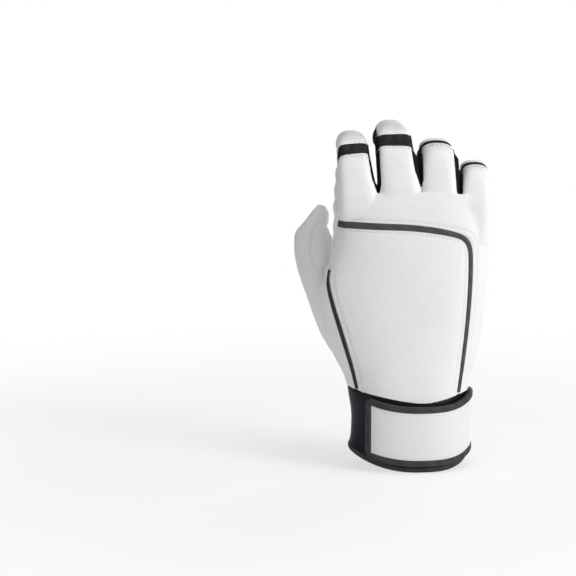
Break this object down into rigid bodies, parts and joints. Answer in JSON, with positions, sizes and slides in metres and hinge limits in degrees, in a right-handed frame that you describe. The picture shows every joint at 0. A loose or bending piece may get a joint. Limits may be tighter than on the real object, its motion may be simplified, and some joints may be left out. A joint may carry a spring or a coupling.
{
  "type": "batting glove",
  "caption": "Right-hand leather batting glove with stretch bands across the finger knuckles, dark finger gussets, a neoprene cuff and a wrap-round hook-and-loop wrist strap.",
  "frame": {"origin": "under the middle of the glove, on the surface that the cuff's hem stands on", "axes": "+Z from the cuff to the fingertips, -Y the back of the hand, +Y the palm, +X the little finger's side"},
  "size_m": [0.1158, 0.096, 0.2048],
  "materials": {
    "white_leather": "smooth, low sheen",
    "flex_fabric": "ribbed stretch knit",
    "gusset_fabric": "matt stretch knit",
    "piping_tape": "satin tape",
    "cuff_neoprene": "smooth skin, soft sheen",
    "binding_tape": "woven tape",
    "strap_face": "smooth coated",
    "fastener": "hook and loop pile"
  },
  "bodies": {
    "hand": {"palm_panel": "white_leather", "heel_panel": "white_leather", "back_panel": "white_leather", "yoke_panel": "white_leather", "thumb_side_panel": "white_leather", "knuckle_piping": "piping_tape", "thumb_piping": "piping_tape", "index_middle_gusset": "gusset_fabric", "middle_ring_gusset": "gusset_fabric", "ring_pinky_gusset": "gusset_fabric", "index_flex_band": "flex_fabric", "middle_flex_band": "flex_fabric", "ring_flex_band": "flex_fabric", "pinky_flex_band": "flex_fabric", "thumb_bend_panel": "white_leather", "cuff_band": "cuff_neoprene", "hem_binding": "binding_tape", "slit_binding_palm": "binding_tape", "slit_binding_back": "binding_tape", "loop_patch": "fastener"},
    "index_tip": {"index_tip_front": "white_leather", "index_tip_back": "white_leather", "index_tip_gusset": "gusset_fabric"},
    "middle_tip": {"middle_tip_front": "white_leather", "middle_tip_back": "white_leather", "middle_tip_gusset": "gusset_fabric"},
    "ring_tip": {"ring_tip_front": "white_leather", "ring_tip_back": "white_leather", "ring_tip_gusset": "gusset_fabric"},
    "pinky_tip": {"pinky_tip_front": "white_leather", "pinky_tip_back": "white_leather", "pinky_tip_gusset": "gusset_fabric"},
    "thumb_tip": {"thumb_tip_front": "white_leather", "thumb_tip_back": "white_leather"},
    "strap": {"strap_binding": "binding_tape", "strap_backing": "cuff_neoprene", "strap_face": "strap_face", "hook_patch": "fastener"}
  },
  "joints": [
    {"name": "index_bend", "type": "hinge", "parent": "hand", "child": "index_tip", "pos_m": [-0.02428, -0.00177, 0.17688], "axis": [-1, 0, 0], "range_deg": [-18, 45], "stiffness_Nm_per_rad": 0.03, "deforming": ["index_flex_band"]},
    {"name": "middle_bend", "type": "hinge", "parent": "hand", "child": "middle_tip", "pos_m": [0.00032, 0.00004, 0.18151], "axis": [-1, 0, 0], "range_deg": [-18, 45], "stiffness_Nm_per_rad": 0.03, "deforming": ["middle_flex_band"]},
    {"name": "ring_bend", "type": "hinge", "parent": "hand", "child": "ring_tip", "pos_m": [0.02592, 0.00092, 0.17398], "axis": [-1, 0, 0], "range_deg": [-18, 45], "stiffness_Nm_per_rad": 0.03, "deforming": ["ring_flex_band"]},
    {"name": "pinky_bend", "type": "hinge", "parent": "hand", "child": "pinky_tip", "pos_m": [0.04862, -0.00127, 0.16333], "axis": [-1, 0, 0], "range_deg": [-18, 45], "stiffness_Nm_per_rad": 0.03, "deforming": ["pinky_flex_band"]},
    {"name": "thumb_bend", "type": "hinge", "parent": "hand", "child": "thumb_tip", "pos_m": [-0.03759, 0.01628, 0.12725], "axis": [-0.5737, 0.6519, -0.4958], "range_deg": [-15, 15], "stiffness_Nm_per_rad": 0.03, "deforming": ["thumb_bend_panel"]},
    {"name": "strap_open", "type": "hinge", "parent": "hand", "child": "strap", "pos_m": [0.0411, -0.00218, 0.0285], "axis": [0, 0, 1], "range_deg": [0, 110]}
  ]
}
